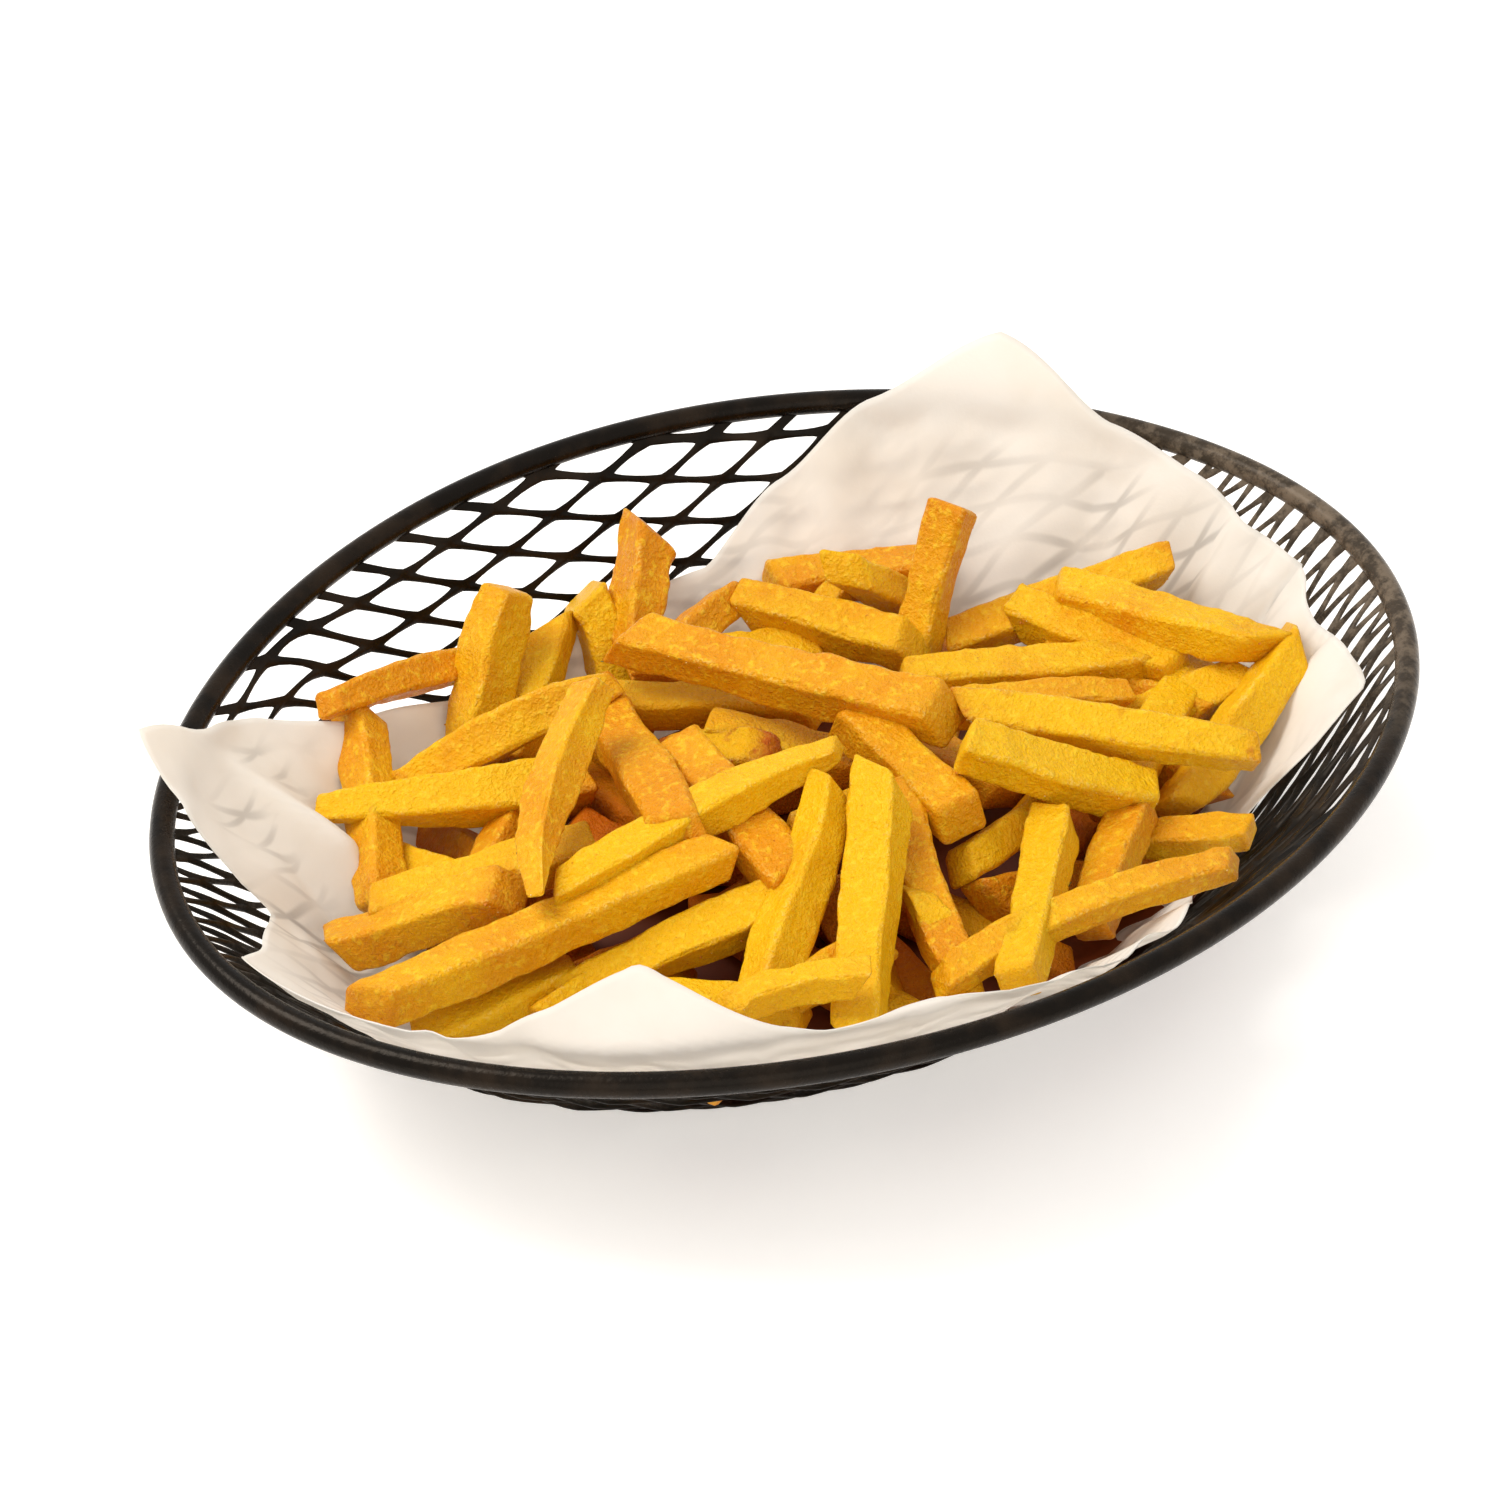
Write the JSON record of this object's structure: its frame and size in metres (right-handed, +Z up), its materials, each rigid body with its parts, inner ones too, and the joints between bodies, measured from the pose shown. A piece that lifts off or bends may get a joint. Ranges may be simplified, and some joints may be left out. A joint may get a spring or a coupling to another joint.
{
  "type": "french fries portion in a mesh basket",
  "caption": "Portion of french fries heaped on white tissue paper in an oval basket of black expanded metal with a round wire rim; stands on the basket's flat bottom.",
  "frame": {"origin": "middle of the footprint, on the surface the basket stands on", "axes": "+Z up, +X along the basket's long axis, +Y across it towards the side where one paper corner lies over the rim"},
  "size_m": [0.2564, 0.1944, 0.0608],
  "materials": {
    "wire": "satin black coating, a little speckled",
    "mesh": "satin black coating with rounded strand edges",
    "paper": "thin matt tissue, light shows through",
    "fries": "fried potato, golden with browned edges and tips, slightly oily"
  },
  "bodies": {
    "root": {"rim_wire": "wire", "basket_mesh": "mesh", "paper_liner": "paper", "fries_heap": "fries"}
  },
  "joints": []
}
